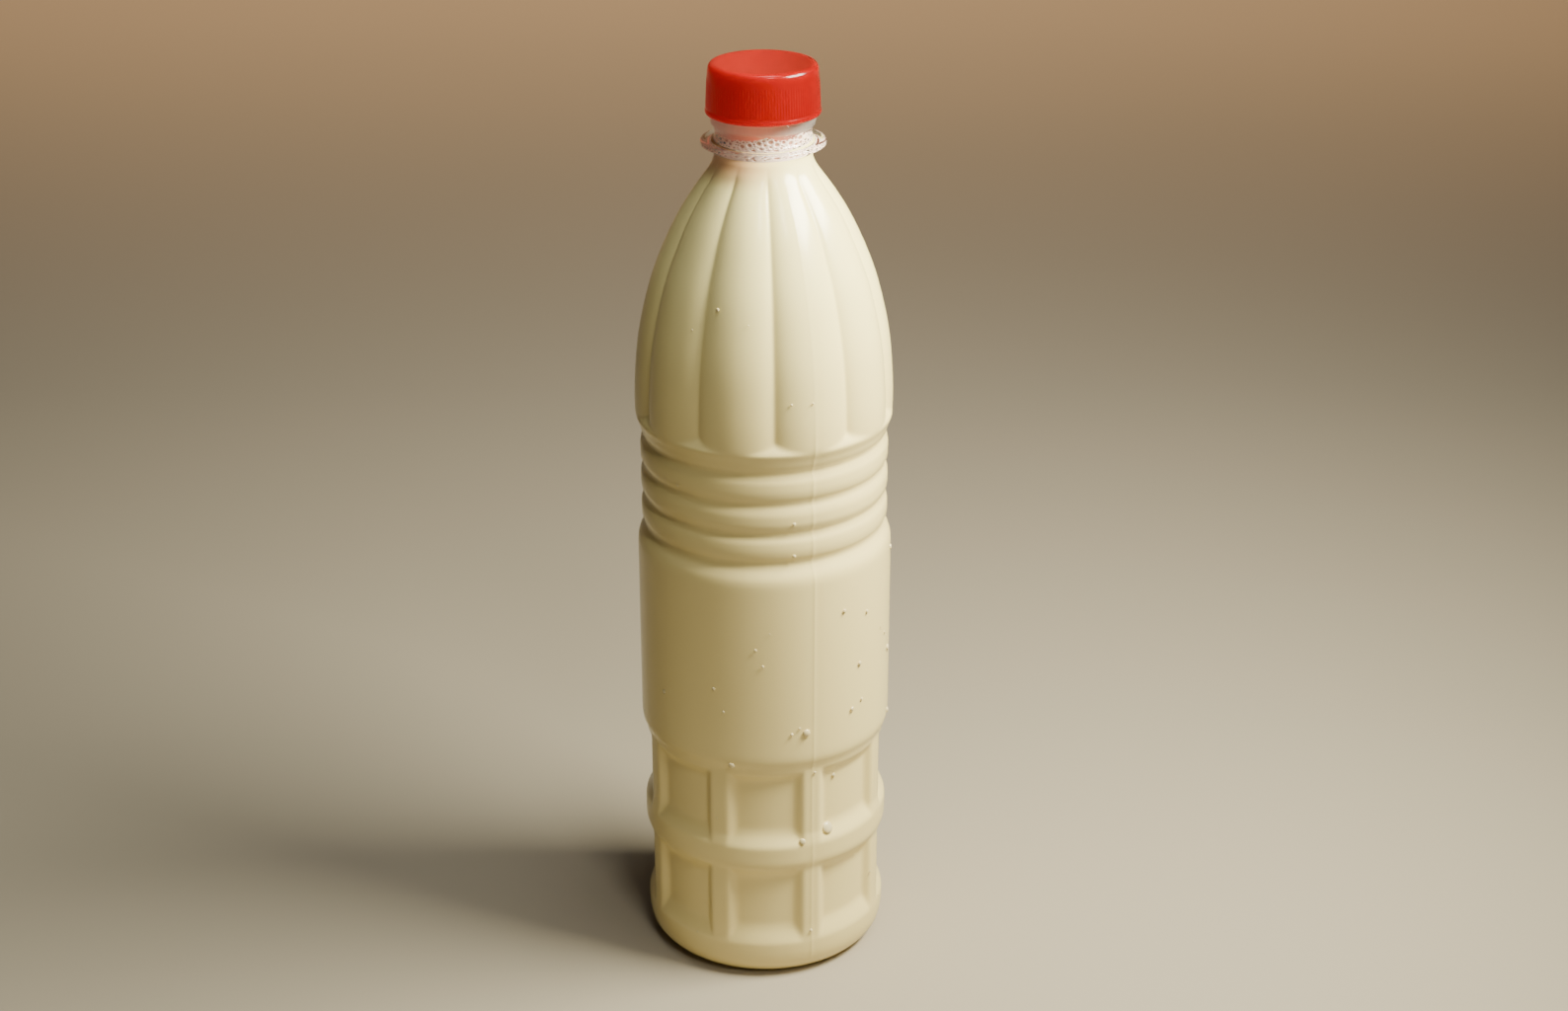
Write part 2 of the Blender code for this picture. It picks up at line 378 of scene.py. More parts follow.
def fluteRelief(radius, z, azimuth):
    # lobes as arcs: depth grows with the square of the way from crest to groove, and steeply beside the
    # groove, fading out under the neck; at the foot a short ramp up to the full rim, met in a rounded corner
    f = bottleForm
    away = 1.0 - foldAngle(azimuth, f["mouldAzimuth"], f["lobes"]) * f["lobes"] / 180.0
    away = np.sqrt(away**2 + f["lobeRound"] ** 2) - f["lobeRound"]
    across = 1.0 - away
    whole = f["lobeDepth"] + f["creaseDepth"]
    share = (f["lobeDepth"] * across**2 + f["creaseDepth"] * across**8) / whole
    low, high = f["lobeFoot"]
    ramp = (z - low) / (high - low) + 0.0 * azimuth
    share = np.where(z < low - 0.5, 0.0, np.maximum(softMin(share, ramp, f["lobeCorner"]), 0.0))
    return whole * radius * share * (1.0 - ease(*f["lobeTop"], z))


def windowRelief(radius, z, azimuth):
    # a frame of ribs and bands round flat floors: the smallest of a ramp across, one down and one up,
    # so that the sloping sides meet in mitred corners
    f = bottleForm
    side = foldAngle(azimuth, f["mouldAzimuth"], f["windows"])
    across = (side - f["ribTop"]) / (f["ribFoot"] - f["ribTop"])
    depth = np.zeros_like(z + azimuth)
    for top, floorTop, floorFoot, foot in f["windowRows"]:
        down = (top - z) / (top - floorTop)
        up = (z - foot) / (floorFoot - foot)
        share = softMin(softMin(across, down, f["windowCorner"]), up, f["windowCorner"])
        share = softMin(share, np.ones_like(share), f["windowCorner"])
        share = ease(f["windowEdge"], 1.0, share)
        depth = np.maximum(depth, (radius - f["windowFloor"]) * share)
    return depth


def seamRelief(z, azimuth):
    # a fine raised line where the two mould halves met, on both sides, hardly seen on the shoulder
    f = bottleForm
    side = foldAngle(azimuth, f["mouldAzimuth"], 2) * f["mmPerDegree"]
    share = 1.0 - sum(lost * ease(low, high, z) for low, high, lost in f["seamFades"])
    return f["seam"] * np.exp(-((side / f["seamWidth"]) ** 2)) * share * ease(*f["seamFoot"], z)


def columnAngles():
    # columns drawn together at the grooves between lobes, at the ribs' sides and at the two mould lines:
    # equal steps of a total in which a direction near one of these counts more
    f = bottleForm
    fine = np.linspace(0.0, 360.0, 7201)   # twenty to a degree
    away = {
        "groove": foldAngle(fine, 180.0 / f["lobes"], f["lobes"]),
        "ribSide": np.abs(foldAngle(fine, 0.0, f["windows"]) - f["ribMiddle"]),
        "mould": foldAngle(fine, 0.0, 2),
    }
    weight = 1.0
    for name, (closer, width) in f["closerColumns"].items():
        weight = weight + closer * np.exp(-((away[name] / width) ** 2))
    total = np.cumsum(weight) - weight[0]
    at = np.arange(f["columns"]) * total[-1] / f["columns"]
    return np.interp(at, total, fine) + f["mouldAzimuth"]


def busyRows(z):
    # more rows over the windows and over the feet of the lobes
    return sum(closer * ((z > low) & (z < high)) for low, high, closer in bottleForm["busyHeights"])


def bodyGrid():
    # the outer skin: profile radius less the flutes and windows, plus the mould line
    f = bottleForm
    path = softenPath(bodyPath(), f["pathStep"], f["cornerReach"])
    path = pickRows(path, f["rows"], f["bendWeight"], busyRows)
    radius, z = path[:, :1], path[:, 1:]
    angle = columnAngles()[None, :]
    relief = seamRelief(z, angle) - fluteRelief(radius, z, angle) - windowRelief(radius, z, angle)
    shaped = (z <= f["neckFoot"]) & ((z >= f["heelTop"]) | (radius > f["footRadius"]))
    return turned(radius + np.where(shaped, relief, 0.0), angle, z)


def gridNormals(grid):
    # cross product of the central differences along and across, turned to point away from the axis
    around = np.roll(grid, -1, axis=1) - np.roll(grid, 1, axis=1)
    along = np.gradient(grid, axis=0)
    normal = np.cross(around, along)
    normal /= np.maximum(np.linalg.norm(normal, axis=-1, keepdims=True), 1e-9)
    middle = grid.shape[0] // 2
    if (normal[middle, :, :2] * grid[middle, :, :2]).sum() < 0.0:
        normal = -normal
    return normal


skin = bodyGrid()
skinNormals = gridNormals(skin)

wallForm = {
    "thickness": 0.7,
    "bore": 10.85,          # radius inside the neck
    "boreFoot": (231.4, 234.4),   # heights between which the wall turns into it
    "rowReach": 4,          # rows up and down that the inner wall stays behind
    "every": 6,             # the inner wall keeps one row of the skin in six
    "footTop": 3.0,
    "footShare": 0.6,       # of the wall, taken off the radius below footTop
    "lipRise": 0.25,
}


def wallInside():
    # inner wall: within each column the least radius for some rows up and down, less the wall, so that it
    # stays behind every groove, a plain bore in the neck and a flat floor one wall above the foot's middle
    f = wallForm
    radius = axisDistance(skin)
    z = skin[..., 2]
    reach = f["rowReach"]
    padded = np.pad(radius, ((reach, reach), (0, 0)), mode="edge")
    around = [padded[i : i + len(radius)] for i in range(2 * reach + 1)]
    share = ease(*f["boreFoot"], z)
    inner = (np.min(around, axis=0) - f["thickness"]) * (1.0 - share) + f["bore"] * share
    inner = np.where(z < f["footTop"], radius - f["footShare"] * f["thickness"], inner)
    grid = withRadius(skin, np.maximum(inner, 0.0))
    grid[..., 2] = np.maximum(z, z[-1, 0] + f["thickness"])
    return grid


def makeBottle():
    # up the outer skin from the foot to the mouth, over the lip and down the inner wall
    keep = np.unique(np.concatenate([np.arange(0, len(skin), wallForm["every"]), [len(skin) - 1]]))
    inner = wallInside()[keep]
    lip = 0.5 * (skin[0] + inner[0]) + np.array([0.0, 0.0, wallForm["lipRise"]])
    grid = np.concatenate([skin[::-1], lip[None], inner])
    return closedShells("bottleShell", grid[None])


milkForm = {
    "level": 233.9,
    "radius": 11.0,         # in the neck, just inside the wall's plastic
    "neckFoot": (230.8, 233.3),
    "meniscus": 0.45,       # how much lower the middle lies than the edge
    "sideTop": 233.6,       # the side ends below it, and the top closes it
}


def makeMilk():
    # the skin moved half the wall in, so that no air shows, closed by a level top with a low meniscus
    f = milkForm
    side = skin - skinNormals * (0.5 * wallForm["thickness"])
    share = ease(*f["neckFoot"], skin[..., 2:])
    side = side * (1.0 - share) + withRadius(side, np.full(side.shape[:2], f["radius"])) * share
    side = side[side[:, 0, 2] < f["sideTop"]]
    rim = side[0] * [1.0, 1.0, 0.0]
    rim = rim * f["radius"] / np.linalg.norm(rim, axis=-1, keepdims=True)
    radii = np.array([0.0, 0.15, 0.35, 0.55, 0.72, 0.85, 0.93, 0.975, 1.0])
    lift = f["level"] - f["meniscus"] + f["meniscus"] * radii**6
    top = rim[None] * radii[:, None, None] + np.array([0.0, 0.0, 1.0]) * lift[:, None, None]
    return closedShells("milkFill", np.concatenate([top, side])[None])


print("grids for wall and milk ready")

# froth in the neck
frothForm = {
    "foot": 233.3,
    "top": 239.7,
    "radius": 11.0,
    "columns": 420,
    "rows": 70,
    "topRows": 25,
    "swells": ((2, 0.25, 40), (5, 0.22, 110), (9, 0.14, 20), (17, 0.08, 300)),   # turns, height, start
    "peaks": ((4.0, 0.75, 9.0), (62.0, 1.3, 16.0)),   # azimuth, height, width
    "shoulder": 1.2,        # how far the upper edge is drawn in
    "sink": 2.6,            # how far the top sinks to the middle
    "dent": 0.32,           # depth of a bubble in the wall of foam
    "lump": 0.25,           # height of the lumps on the top
    "bubbles": 520,
    "triesEach": 6,
    "smallest": 0.13,       # least radius of a chance bubble, and how much the first may have above it
    "spread": 0.66,
    "apart": 0.04,          # foam left between two bubbles
    "lowest": 1.7,          # chance bubbles lie from here above the foot, over the next span
    "span": 5.6,
    "seed": 11,
}

# azimuth, height, radius of the large bubbles seen at the front
bubblesSeen = [
    (-28.1, 237.3, 0.74), (-18.1, 237.9, 0.69), (-6.1, 238.6, 0.74), (0.3, 239.4, 0.54), (9.3, 239.0, 0.78),
    (1.9, 238.0, 0.50), (17.6, 238.1, 0.68), (26.8, 238.6, 0.62), (37.4, 238.1, 0.78), (32.0, 239.2, 0.30),
    (-10.8, 237.5, 0.26), (-37.4, 237.5, 0.34), (-26.3, 238.7, 0.34), (-14.4, 239.1, 0.40),
    (-35.0, 238.5, 0.42), (54.8, 237.5, 0.58), (-3.0, 236.8, 0.66), (9.3, 237.4, 0.42),
    (-46.8, 237.4, 0.60), (5.3, 239.9, 0.30), (-13.0, 236.8, 0.27), (71.0, 239.4, 0.25),
    (73.5, 238.8, 0.25), (69.8, 237.8, 0.22), (84.0, 238.3, 0.32), (27.5, 235.9, 0.34),
    (-22.0, 234.7, 0.50), (-11.5, 234.6, 0.44), (1.5, 234.7, 0.36), (-34.0, 235.2, 0.55),
]
girth = 2.0 * math.pi * frothForm["radius"]


def roundNeck(apart):
    # a distance round the neck, taken the short way
    return np.mod(apart + 0.5 * girth, girth) - 0.5 * girth


def frothTop(azimuth):
    # uneven upper edge: a sum of sines round the neck, a small peak at the front and a climb at the right
    edge = frothForm["top"] + 0.0 * azimuth
    for turns, height, start in frothForm["swells"]:
        edge = edge + height * np.sin(np.radians(turns * azimuth + start))
    for middle, height, width in frothForm["peaks"]:
        edge = edge + height * np.exp(-((foldAngle(azimuth, middle, 1) / width) ** 2))
    return edge


def bubbleField(across, up, centres):
    # hole: how deep a point lies in its bubble, 0 at the wall between bubbles and 1 at the middle
    hole = np.zeros(across.shape)
    for x, y, size in centres:
        near = 1.0 - (roundNeck(across - x) ** 2 + (up - y) ** 2) / size**2
        hole = np.maximum(hole, np.clip(near, 0.0, 1.0))
    return hole


def bubbleCentres():
    # those seen first, then ever smaller ones by chance, each clear of all before it
    f = frothForm
    rng = np.random.default_rng(f["seed"])
    seen = np.array(bubblesSeen)
    kept = np.stack([np.radians(seen[:, 0]) * f["radius"] % girth, seen[:, 1], seen[:, 2]], axis=1)
    tries = f["bubbles"] * f["triesEach"]
    for number in range(tries):
        size = f["spread"] * (1.0 - number / tries) ** 2.2 * rng.uniform(0.7, 1.15) + f["smallest"]
        x = rng.uniform(0.0, girth)
        y = f["foot"] + f["lowest"] + rng.beta(1.6, 1.3) * f["span"]
        if y > frothTop(math.degrees(x / f["radius"])) - size * 0.9:
            continue
        apart = np.hypot(roundNeck(kept[:, 0] - x), kept[:, 1] - y) - kept[:, 2] - size
        if apart.min() > f["apart"]:
            kept = np.concatenate([kept, [[x, y, size]]])
        if len(kept) >= f["bubbles"]:
            break
    return kept


def makeFroth():
    # a plug of foam against the wall, dimpled by its bubbles, with a lumpy top that sinks to the middle
    f = frothForm
    azimuth = np.linspace(0.0, 360.0, f["columns"], endpoint=False)[None, :]
    edge = frothTop(azimuth)
    climb = np.linspace(0.0, 1.0, f["rows"])[:, None]
    sideZ = f["foot"] + climb * (edge - f["foot"])
    sideHole = bubbleField(np.radians(azimuth) * f["radius"] + 0.0 * sideZ, sideZ, bubbleCentres())
    sideRadius = f["radius"] - f["dent"] * np.sqrt(sideHole) - f["shoulder"] * ease(0.93, 1.0, climb) ** 2
    inward = np.linspace(1.0, 0.0, f["topRows"] + 1)[1:, None]
    lumps = f["lump"] * np.sin(np.radians(7.0 * azimuth) + 9.0 * inward) * inward
    topZ = edge - f["lump"] - f["sink"] * (1.0 - inward**2) + lumps
    topRadius = (f["radius"] - f["shoulder"]) * inward + 0.0 * azimuth
    foot = np.full_like(azimuth, f["foot"])
    radius = np.concatenate([0.0 * foot, sideRadius, topRadius])
    z = np.concatenate([foot, sideZ, topZ])
    hole = np.concatenate([0.0 * foot, sideHole, 0.25 + 0.0 * topZ])
    piece = closedShells("frothRing", turned(radius, azimuth, z)[None])
    keepField(piece, "hole", hole)
    return piece


filmForm = {"columns": 96, "rows": 36, "top": 252.0, "lap": 0.7, "outer": 10.92, "inner": 10.72}


def makeFilm():
    # thin milky film left on the bore above the froth: a hollow sleeve reaching just into the wall,
    # out and in as two cylinders joined at both ends, its foot a little below the froth's upper edge
    f = filmForm
    azimuth = np.linspace(0.0, 360.0, f["columns"], endpoint=False)[None, :]
    foot = frothTop(azimuth) - f["lap"]
    z = foot + (f["top"] - foot) * np.linspace(0.0, 1.0, f["rows"])[:, None]
    outer, inner = [turned(radius + 0.0 * z, azimuth, z) for radius in (f["outer"], f["inner"])]
    points = np.concatenate([outer, inner[::-1]]).reshape(-1, 3) * mm
    quads = ringQuads(2 * f["rows"] + 1, f["columns"]) % len(points)   # the last ring is the first again
    if signedVolume(points, [quads]) < 0.0:
        quads = quads[:, ::-1]
    return meshFrom("neckFilm", points, quads.tolist())


# screw cap
capForm = {
    "columns": 720,
    "pathStep": 0.05,
    "outside": {"corner": 0.22, "rows": 84, "bendWeight": 1.2},
    "inside": {"corner": 0.15, "rows": 26, "bendWeight": 0.6},
    "ribs": 120,
    "ribHeight": 0.06,
    "ribFoot": (245.3, 246.2),
    "ribTop": (252.4, 254.2),
    "ribsOutside": 14.0,    # only where the radius is more than this
}
capOutside = [
    (0.0, 256.9), (9.0, 256.97), (12.0, 257.08), (13.1, 257.08), (13.75, 256.85), (14.2, 256.3),
    (14.42, 255.4), (14.54, 254.0), (14.92, 245.75), (14.95, 245.25), (15.12, 245.1), (15.2, 244.7),
    (15.15, 244.2), (14.95, 244.0),
]
capInside = [(13.6, 244.0), (13.1, 244.5), (13.0, 246.0), (12.95, 254.6), (12.6, 254.95), (0.0, 254.95)]


def capPath(points, side):
    # an outline with softened corners, as the rows that its side of the cap asks for
    path = softenPath(points, capForm["pathStep"], side["corner"])
    return pickRows(path, side["rows"], side["bendWeight"])


def makeCap():
    # turned cup; fine upright ribs as a clipped cosine round the straight part of the side
    f = capForm
    path = np.concatenate([capPath(capOutside, f["outside"]), capPath(capInside, f["inside"])])
    azimuth = np.linspace(0.0, 360.0, f["columns"], endpoint=False)[None, :]
    radius, z = path[:, :1], path[:, 1:]
    onSide = ease(*f["ribFoot"], z) * (1.0 - ease(*f["ribTop"], z)) * (radius > f["ribsOutside"])
    ribs = np.clip(0.5 + 0.7 * np.cos(np.radians(azimuth * f["ribs"])), 0.0, 1.0)
    grid = turned(radius + f["ribHeight"] * ribs * onSide, azimuth, z)
    return closedShells("capShell", grid[None])


# water drops on the outside
dropForm = {
    "rings": 7,
    "columns": 14,
    "rise": 0.46,           # height of a dome, as a share of its radius
    "root": 0.2,            # how far it reaches into the wall
    "sag": 1.12,            # how much longer it is downwards
    "scattered": 30,
    "heights": (12.0, 205.0),
    "smallest": 0.22,       # least radius of a scattered drop, and how much the rest may have above it
    "spread": 0.4,
    "seed": 5,
}
# azimuth, height, radius of those seen from the front
dropsSeen = [
    (31.5, 46.2, 1.75), (18.8, 79.0, 1.1), (17.8, 44.4, 0.9), (-15.8, 69.4, 1.0), (-24.0, 92.0, 0.5),
    (-5.0, 105.0, 0.45), (-1.5, 100.5, 0.45), (-19.0, 86.5, 0.45), (-53.0, 86.0, 0.6), (38.0, 114.0, 0.6),
    (48.5, 95.5, 0.65), (43.0, 83.0, 0.65), (22.0, 14.5, 0.5), (13.0, 142.0, 0.5), (13.5, 133.0, 0.55),
    (12.3, 176.0, 0.36), (21.0, 175.5, 0.32), (78.0, 93.0, 0.95), (82.0, 71.0, 0.8), (84.0, 121.0, 0.8),
    (12.0, 79.5, 0.5), (15.5, 80.6, 0.4), (36.0, 62.0, 0.6), (52.0, 110.0, 0.5), (24.0, 66.0, 0.45),
]


def skinPoint(azimuth, height):
    # point and outward normal of the skin nearest to an azimuth and a height
    turn = np.degrees(np.arctan2(skin[..., 0], -skin[..., 1]))
    apart = foldAngle(turn, azimuth, 1) * bottleForm["mmPerDegree"]
    miss = apart**2 + (skin[..., 2] - height) ** 2
    row, column = np.unravel_index(np.argmin(miss), miss.shape)
    return skin[row, column], skinNormals[row, column]


def makeDrops():
    # each drop a low dome on the skin: out = size * sin(t), up = rise * size * cos(t), longer downwards
    f = dropForm
    rng = np.random.default_rng(f["seed"])
    spots = list(dropsSeen)
    for number in range(f["scattered"]):
        azimuth, height = rng.uniform(-180.0, 180.0), rng.uniform(*f["heights"])
        spots.append((azimuth, height, f["smallest"] + f["spread"] * rng.random() ** 3))
    t = np.linspace(0.0, math.pi, f["rings"])[:, None]
    around = np.linspace(0.0, 2.0 * math.pi, f["columns"], endpoint=False)[None, :]
    sideways = np.sin(t) * np.sin(around)
    down = np.sin(t) * np.cos(around) * np.where(np.cos(around) > 0.0, f["sag"], 1.0)
    up = np.cos(t) * np.where(np.cos(t) > -0.01, f["rise"], f["root"]) + 0.0 * around
    domes = []
    for azimuth, height, size in spots:
        point, normal = skinPoint(azimuth, height)
        right = np.cross([0.0, 0.0, 1.0], normal)
        right /= np.linalg.norm(right)
        fall = np.cross(right, normal)
        dome = sideways[..., None] * right + down[..., None] * fall + up[..., None] * normal
        domes.append(point + size * dome)
    return closedShells("waterDrops", np.stack(domes))


print("shapes worked out")


# materials
def paintPlastic():
    # clear blown plastic: bends the view, lets lamps and soft light straight through to the milk
    paint = Paint("clearPlastic")
    where = paint.place()
    swell = paint.noise(where, 55.0, 2.0, 0.45)
    fine = paint.noise(where, 900.0, 2.0, 0.5)
    cloud = paint.noise(where, 140.0, 3.0, 0.6)
    body = paint.axis(where, 2).rise(0.2345, 0.2305)   # satin below the support ring, clearer in the neck
    glass = paint.principled({
        "Base Color": (0.985, 0.985, 0.975),
        "Roughness": 0.035 + 0.185 * body + 0.045 * body * cloud,
        "IOR": 1.5,
        "Transmission Weight": 1.0,
        "Normal": paint.bump(swell * 0.9 + fine * 0.06, 0.16, 0.0006),
    })
    through = paint.node("ShaderNodeBsdfTransparent", None, {"Color": (0.97, 0.97, 0.96)})
    shadow = paint.node("ShaderNodeLightPath", out="Is Shadow Ray")
    soft = paint.node("ShaderNodeLightPath", out="Is Diffuse Ray")
    share = shadow.math("MAXIMUM", shadow, soft)
    return paint.finish(paint.node("ShaderNodeMixShader", None, {0: share, 1: glass, 2: through}))


def paintMilk():
    # opaque cream milk with faint cloudy streaks, paler up the shoulder as a painted highlight, a little pink
    # under the cap
    paint = Paint("creamMilk")
    where = paint.place()
    side, height = paint.axis(where, 0), paint.axis(where, 2)
    cloud = paint.noise(where, 28.0, 3.0, 0.55)
    streak = paint.noise(paint.stretched(where, (60.0, 60.0, 9.0)), 1.0, 2.0, 0.5)
    share = (cloud * 0.6 + streak * 0.4).clip()
    colour = paint.mixColour(share, (0.83, 0.67, 0.27), (0.88, 0.725, 0.31))
    # painted highlight: the cream turns paler up the shoulder, for the whitening where the lamps light it
    # most
    colour = paint.mixColour(height.rise(0.160, 0.205) * 0.5, colour, (0.88, 0.79, 0.34))
    blush = height.rise(0.2265, 0.2315) * side.rise(0.006, -0.006)
    colour = paint.mixColour(blush * 0.75, colour, (0.75, 0.36, 0.17))
    return paint.finish(paint.principled({
        "Base Color": colour,
        "Roughness": 0.42 + 0.1 * cloud,
        "IOR": 1.36,
        "Specular IOR Level": 0.15,
    }))


def paintFroth():
    # pale bubble walls with darker, pinker middles, painted shade in the bubbles' hollows; its emission is a
    # painted glow that lifts the shaded side
    paint = Paint("milkFroth")
    grain = paint.noise(paint.place(), 700.0, 3.0, 0.6)
    # painted shade: the deeper a point lies in a bubble, the darker and pinker its colour
    share = (paint.field("hole") * 2.4 - 0.4 + 0.2 * (grain - 0.5)).clip()
    return paint.finish(paint.principled({
        "Base Color": paint.mixColour(share, (0.97, 0.74, 0.60), (0.50, 0.24, 0.15)),
        "Roughness": 0.3 + 0.2 * grain,
        "Normal": paint.bump(grain, 0.25, 0.0002),
        # painted glow: a faint pink emission that lifts the shaded parts of the foam
        "Emission Color": (0.09, 0.035, 0.025),
        "Emission Strength": 1.0,
        "Subsurface Weight": 0.2,
        "Subsurface Radius": (1.0, 0.6, 0.5),
        "Subsurface Scale": 0.002,
    }))


def paintFilm():
    # thin dried milk, streaked downwards, thinner at the right; its colours are largely painted light:
    # painted red light from the cap at the front, browner at the left, darker at the right, paler from the
    # neck's bead up as a painted highlight; its glow is painted light from the cap
    paint = Paint("milkFilm")
    where = paint.place()
    side, height = paint.axis(where, 0), paint.axis(where, 2)
    streak = paint.noise(paint.stretched(where, (220.0, 220.0, 60.0)), 1.0, 3.0, 0.6)
    right = side.rise(0.001, 0.011)
    left = side.rise(-0.002, -0.009)
    bead = height.rise(0.2404, 0.2414)
    # painted light: red at the front for the cap's red light and reflection, browner at the left, darker at
    # the right
    low = paint.mixColour(right, (0.72, 0.20, 0.11), (0.16, 0.09, 0.07))
    low = paint.mixColour(left, low, (0.40, 0.24, 0.18))
    # painted highlight: the band from the bead up is paler, for the silvery sheen there
    high = paint.mixColour(right, (0.60, 0.47, 0.39), (0.36, 0.31, 0.28))
    # painted glow: emission strongest at the front and weakest at the right, for light coming through the cap
    glow = paint.mixColour(right, (0.42, 0.09, 0.05), (0.06, 0.03, 0.02))
    return paint.finish(paint.principled({
        "Base Color": paint.mixColour(bead, low, high),
        "Roughness": 0.35 + 0.2 * streak,
        "Alpha": (0.50 + 0.5 * streak - 0.2 * right + 0.25 * bead).clip(),
        "Emission Color": paint.mixColour(left, glow, (0.16, 0.065, 0.045)),
        "Emission Strength": 1.0,
    }))


def paintCap():
    # moulded red plastic, finely grained and slightly cloudy; deeper in colour at the right, a painted
    # darkening of the side the lamps light most;
    # its emission is a painted glow for light that wanders through it
    paint = Paint("capRed")
    where = paint.place()
    cloud = paint.noise(where, 90.0, 3.0, 0.55)
    grain = paint.noise(where, 1500.0, 2.0, 0.5)
    right = paint.axis(where, 0).rise(-0.004, 0.012)
    colour = paint.mixColour(cloud, (0.21, 0.0035, 0.0022), (0.24, 0.0045, 0.0026))
    return paint.finish(paint.principled({
        # painted shade: the base colour darkens towards the lit right side
        "Base Color": paint.mixColour(right * 0.9, colour, (0.095, 0.0010, 0.0007)),
        "Roughness": 0.13 + 0.06 * cloud,
        "IOR": 1.49,
        "Specular IOR Level": 0.26,
        # painted glow: a red emission, a little weaker at the right, for light scattered inside the cap
        "Emission Color": paint.mixColour(right, (0.165, 0.0070, 0.0070), (0.145, 0.0045, 0.0032)),
        "Emission Strength": 1.0,
        "Normal": paint.bump(grain, 0.12, 0.00008),
        "Subsurface Weight": 1.0,
        "Subsurface Radius": (1.0, 0.05, 0.03),
        "Subsurface Scale": 0.012,
    }))


def paintWater():
    # water with a little milk in it: part of the light passes, the rest takes the shade of a small dome
    paint = Paint("clearWater")
    ripple = paint.noise(paint.place(), 400.0, 1.0, 0.5)
    return paint.finish(paint.principled({
        "Base Color": paint.mixColour(ripple, (0.84, 0.71, 0.38), (0.89, 0.77, 0.44)),
        "Roughness": 0.05 + 0.04 * ripple,
        "IOR": 1.5,
        "Transmission Weight": 0.25,
    }))


wear(makeBottle(), paintPlastic(), "clear_plastic", "bottle")
wear(makeMilk(), paintMilk(), "milk", "milk")
wear(makeFroth(), paintFroth(), "milk_froth", "froth")
wear(makeFilm(), paintFilm(), "milk_froth")
wear(makeCap(), paintCap(), "cap_red", "cap")
wear(makeDrops(), paintWater(), "clear_plastic")
print("pieces dressed")

# floor, lights and camera, in metres
floorForm = {
    "columns": 9,
    "rows": 40,
    "halfWidth": 4.0,
    "flatShare": 0.6,       # of the rows, then the bend and the upright rest
    "bendShare": 0.25,
    "flatFrom": -2.5,
    "flatLength": 5.0,
    "bendRadius": 1.0,
    "upright": 2.0,
    "nearColour": (0.35, 0.30, 0.21),
    "farColour": (0.66, 0.50, 0.35),
    "farFrom": 0.2,         # the colour changes behind the bottle, over the next stretch
    "farOver": 1.6,
}


def makeFloor():
    # a sheet that curves up far behind: flat, then a quarter circle, then upright
    f = floorForm
    x = np.linspace(-f["halfWidth"], f["halfWidth"], f["columns"])[None, :]
    t = np.linspace(0.0, 1.0, f["rows"])[:, None]
    flat = np.minimum(t / f["flatShare"], 1.0) * f["flatLength"] + f["flatFrom"]
    bend = np.clip((t - f["flatShare"]) / f["bendShare"], 0.0, 1.0) * math.pi / 2.0
    bentTo = f["flatShare"] + f["bendShare"]
    rise = np.clip((t - bentTo) / (1.0 - bentTo), 0.0, 1.0) * f["upright"]
    y = flat + f["bendRadius"] * np.sin(bend)
    z = f["bendRadius"] * (1.0 - np.cos(bend)) + rise
    grid = np.stack([x + 0.0 * t, y + 0.0 * x, z + 0.0 * x], axis=-1)
    rows, columns = grid.shape[:2]
    start = (np.arange(rows - 1) * columns)[:, None] + np.arange(columns - 1)
    quads = np.stack([start, start + 1, start + columns + 1, start + columns], axis=-1).reshape(-1, 4)
    piece = meshFrom("paleFloor", grid.reshape(-1, 3), quads.tolist())
    piece.data.materials.append(paintFloor())


def paintFloor():
    # pale and matt, warmer far behind, with an uneven change between
    paint = Paint("paleFloor")
    where = paint.place()
    cloud = paint.noise(where, 3.0, 2.0, 0.5)
    far = ((paint.axis(where, 1) - floorForm["farFrom"]) / floorForm["farOver"] + 0.1 * cloud).clip()
    colour = paint.mixColour(far, floorForm["nearColour"], floorForm["farColour"])
    return paint.finish(paint.principled({"Base Color": colour, "Roughness": 0.7}))


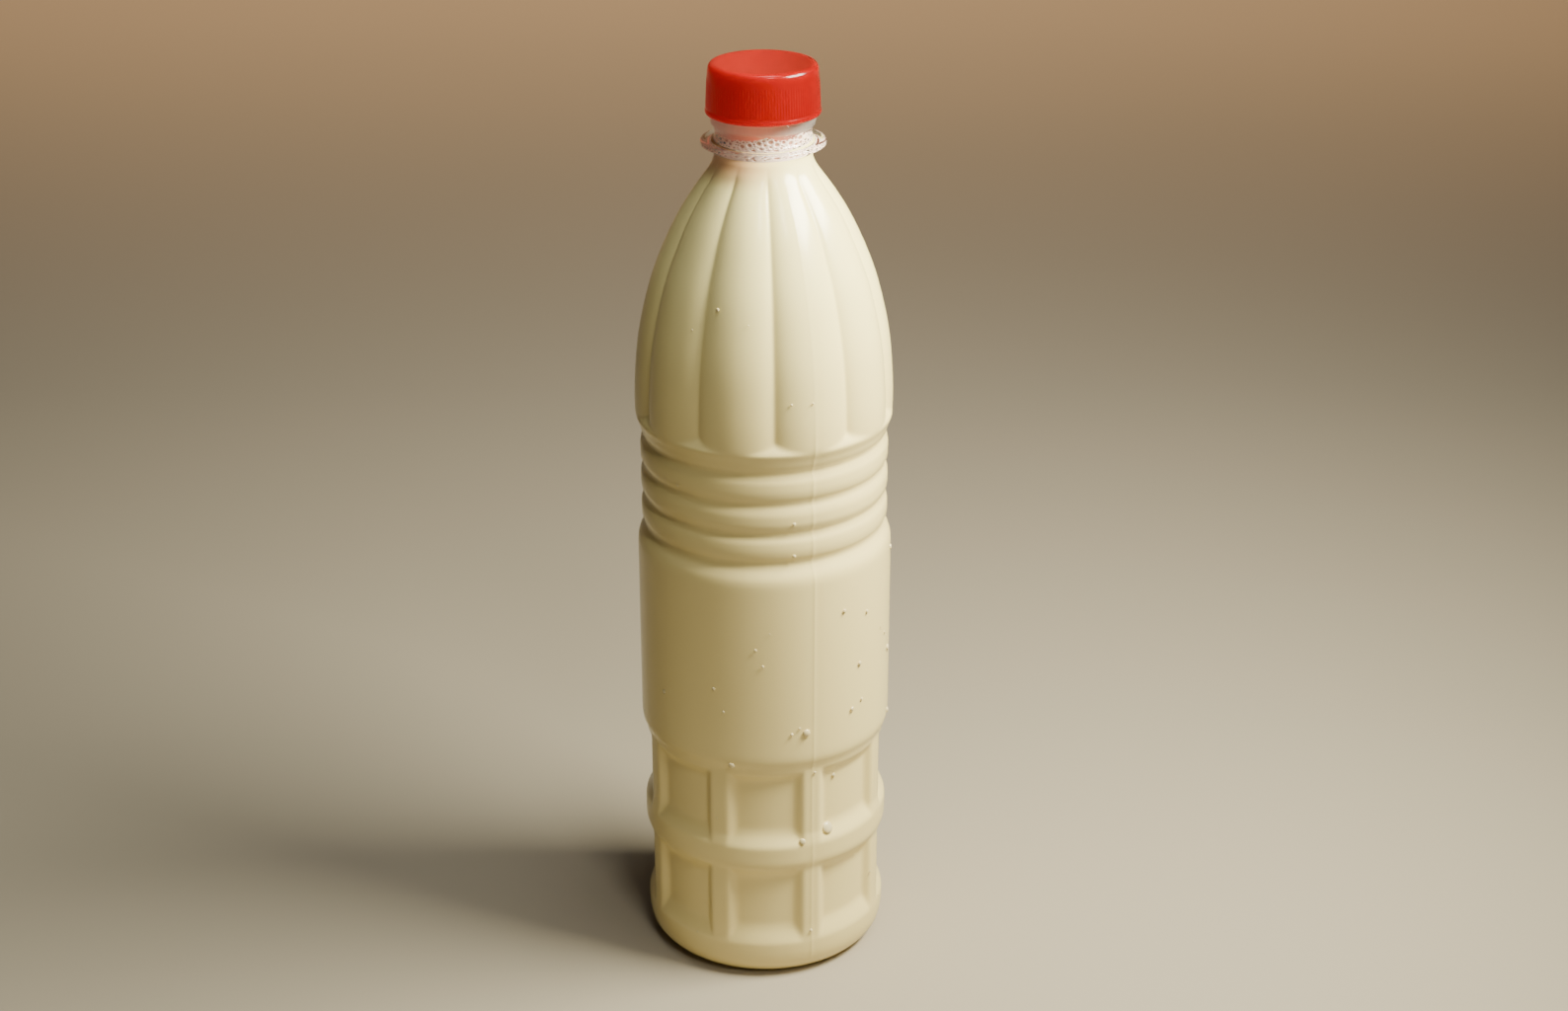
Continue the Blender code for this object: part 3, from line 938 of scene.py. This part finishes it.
# name, place, target, size, power, colour
lamps = [
    ("keyRight", (0.212, -0.052, 0.383), (0.0, 0.0, 0.19), (0.18, 0.11), 5.4, (1.0, 0.985, 0.85)),
    ("stripRight", (0.17, -0.53, 0.78), (0.0, 0.0, 0.20), (0.15, 0.17), 1.9, (1.0, 0.99, 0.92)),
    ("skyAbove", (0.10, -0.12, 1.0), (0.0, 0.0, 0.20), (0.30, 0.30), 3.6, (0.95, 0.98, 0.98)),
    ("fillFront", (0.25, -1.2, 0.75), (0.0, 0.0, 0.13), (0.8, 0.5), 0.25, (0.95, 0.95, 1.0)),
    ("backWash", (0.0, 1.1, 1.0), (0.0, 2.6, 0.0), (1.8, 0.5), 17.0, (1.0, 0.74, 0.45)),
]
worldForm = {"colour": (0.42, 0.43, 0.60), "strength": 0.055}


def makeLights():
    # oblong lamps, each turned to face its target, and a faint even light from all round
    for name, place, target, size, power, colour in lamps:
        light = bpy.data.lights.new(name, "AREA")
        light.shape = "RECTANGLE"
        light.size, light.size_y = size
        light.energy = power
        light.color = colour
        lamp = bpy.data.objects.new(name, light)
        bpy.context.scene.collection.objects.link(lamp)
        lamp.location = place
        lamp.rotation_euler = (Vector(target) - Vector(place)).to_track_quat("-Z", "Y").to_euler()
    world = bpy.data.worlds.new("studioWorld")
    world.use_nodes = True
    back = world.node_tree.nodes["Background"]
    back.inputs["Color"].default_value = (*worldForm["colour"], 1.0)
    back.inputs["Strength"].default_value = worldForm["strength"]
    bpy.context.scene.world = world


# distance and height in metres, turns in degrees, lens and sensor in millimetres
cameraForm = {"distance": 0.651, "height": 0.421, "down": 23.9, "right": 0.476, "lens": 59.2, "sensor": 36.0}


def makeCamera():
    camera = bpy.data.cameras.new("photoView")
    camera.lens = cameraForm["lens"]
    camera.sensor_width = cameraForm["sensor"]
    camera.clip_start = 0.01
    view = bpy.data.objects.new("photoView", camera)
    bpy.context.scene.collection.objects.link(view)
    view.location = (0.0, -cameraForm["distance"], cameraForm["height"])
    down, right = math.radians(cameraForm["down"]), math.radians(cameraForm["right"])
    view.rotation_euler = (math.radians(90.0) - down, 0.0, -right)
    bpy.context.scene.camera = view


makeFloor()
makeLights()
makeCamera()
print("studio ready")
